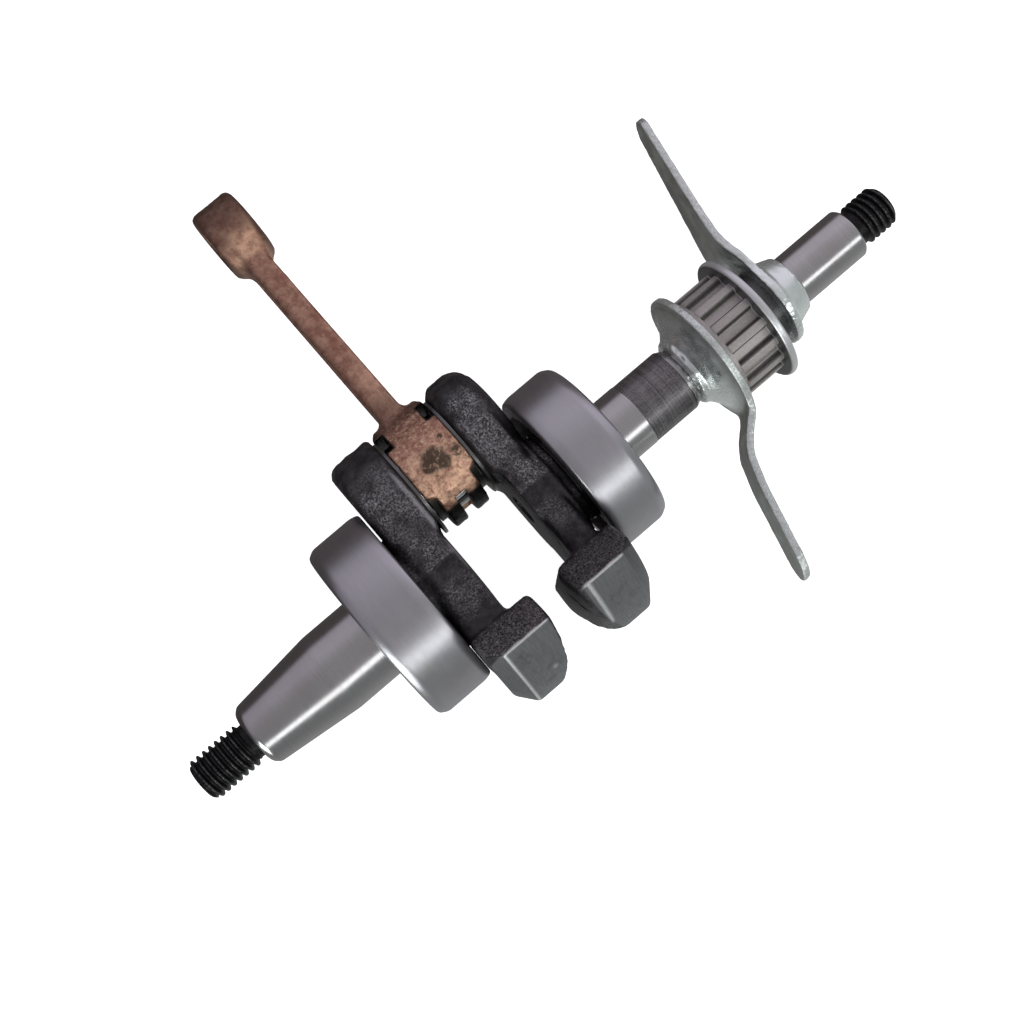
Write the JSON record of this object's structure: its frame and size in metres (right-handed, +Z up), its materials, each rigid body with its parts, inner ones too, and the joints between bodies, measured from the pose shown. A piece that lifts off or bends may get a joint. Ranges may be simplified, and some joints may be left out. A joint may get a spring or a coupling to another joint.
{
  "type": "engine crankshaft assembly",
  "caption": "Built-up single-throw crankshaft with connecting rod, two ball bearings, timing-belt pulley and bent oil slinger plates.",
  "frame": {"origin": "centre of the flywheel-side main bearing, on the crank axis", "axes": "+X along the crank axis towards the output end, +Y towards the crankpin seen from above, +Z up from the bench the crank lies on"},
  "size_m": [0.1508, 0.1152, 0.0388],
  "materials": {
    "forged_steel": "black forging scale with turned rims and ground journals",
    "ground_steel": "ground",
    "pressed_steel": "pressed sheet",
    "coppered_steel": "copper-flashed forging",
    "sintered_steel": "sintered",
    "dark_sheet_steel": "dull",
    "zinc_plated_steel": "pale zinc plate"
  },
  "bodies": {
    "crankshaft": {"flywheel_crank_half": "forged_steel", "output_crank_half": "forged_steel", "crankpin": "ground_steel", "flywheel_bearing_inner_ring": "ground_steel", "output_bearing_inner_ring": "ground_steel", "timing_pulley": "sintered_steel", "pulley_flange": "dark_sheet_steel", "slinger_flywheel_side": "zinc_plated_steel", "slinger_output_side": "zinc_plated_steel"},
    "flywheel_bearing_outer": {"flywheel_bearing_outer_ring": "ground_steel"},
    "flywheel_bearing_cage": {"flywheel_bearing_cage_inboard": "pressed_steel", "flywheel_bearing_cage_outboard": "pressed_steel", "flywheel_bearing_rivets": "pressed_steel", "flywheel_bearing_ball_1": "ground_steel", "flywheel_bearing_ball_2": "ground_steel", "flywheel_bearing_ball_3": "ground_steel", "flywheel_bearing_ball_4": "ground_steel", "flywheel_bearing_ball_5": "ground_steel", "flywheel_bearing_ball_6": "ground_steel", "flywheel_bearing_ball_7": "ground_steel", "flywheel_bearing_ball_8": "ground_steel"},
    "output_bearing_outer": {"output_bearing_outer_ring": "ground_steel"},
    "output_bearing_cage": {"output_bearing_cage_inboard": "pressed_steel", "output_bearing_cage_outboard": "pressed_steel", "output_bearing_rivets": "pressed_steel", "output_bearing_ball_1": "ground_steel", "output_bearing_ball_2": "ground_steel", "output_bearing_ball_3": "ground_steel", "output_bearing_ball_4": "ground_steel", "output_bearing_ball_5": "ground_steel", "output_bearing_ball_6": "ground_steel", "output_bearing_ball_7": "ground_steel"},
    "connecting_rod": {"connecting_rod": "coppered_steel"},
    "big_end_bearing": {"big_end_cage": "pressed_steel", "big_end_needle_1": "ground_steel", "big_end_needle_2": "ground_steel", "big_end_needle_3": "ground_steel", "big_end_needle_4": "ground_steel", "big_end_needle_5": "ground_steel", "big_end_needle_6": "ground_steel", "big_end_needle_7": "ground_steel", "big_end_needle_8": "ground_steel", "big_end_needle_9": "ground_steel", "big_end_needle_10": "ground_steel", "big_end_needle_11": "ground_steel", "big_end_needle_12": "ground_steel", "big_end_needle_13": "ground_steel", "big_end_needle_14": "ground_steel"},
    "big_end_washer_flywheel_side": {"big_end_washer_flywheel": "pressed_steel"},
    "big_end_washer_output_side": {"big_end_washer_output": "pressed_steel"}
  },
  "joints": [
    {"name": "flywheel_bearing_spin", "type": "hinge", "parent": "crankshaft", "child": "flywheel_bearing_outer", "pos_m": [0, 0, 0], "axis": [1, 0, 0], "continuous": true},
    {"name": "flywheel_cage_spin", "type": "hinge", "parent": "crankshaft", "child": "flywheel_bearing_cage", "pos_m": [0, 0, 0], "axis": [1, 0, 0], "continuous": true},
    {"name": "output_bearing_spin", "type": "hinge", "parent": "crankshaft", "child": "output_bearing_outer", "pos_m": [0.0405, 0, 0], "axis": [1, 0, 0], "continuous": true},
    {"name": "output_cage_spin", "type": "hinge", "parent": "crankshaft", "child": "output_bearing_cage", "pos_m": [0.0405, 0, 0], "axis": [1, 0, 0], "continuous": true},
    {"name": "rod_swing", "type": "hinge", "parent": "crankshaft", "child": "connecting_rod", "pos_m": [0.0205, 0.01491, -0.00164], "axis": [1, 0, 0], "continuous": true},
    {"name": "needle_cage_spin", "type": "hinge", "parent": "crankshaft", "child": "big_end_bearing", "pos_m": [0.0205, 0.01491, -0.00164], "axis": [1, 0, 0], "continuous": true},
    {"name": "washer_spin_flywheel_side", "type": "hinge", "parent": "crankshaft", "child": "big_end_washer_flywheel_side", "pos_m": [0.0205, 0.01491, -0.00164], "axis": [1, 0, 0], "continuous": true},
    {"name": "washer_spin_output_side", "type": "hinge", "parent": "crankshaft", "child": "big_end_washer_output_side", "pos_m": [0.0205, 0.01491, -0.00164], "axis": [1, 0, 0], "continuous": true}
  ],
  "couplings": [
    {"joint": "flywheel_cage_spin", "follows": "flywheel_bearing_spin", "ratio": 0.6191},
    {"joint": "output_cage_spin", "follows": "output_bearing_spin", "ratio": 0.6353},
    {"joint": "needle_cage_spin", "follows": "rod_swing", "ratio": 0.5714}
  ]
}
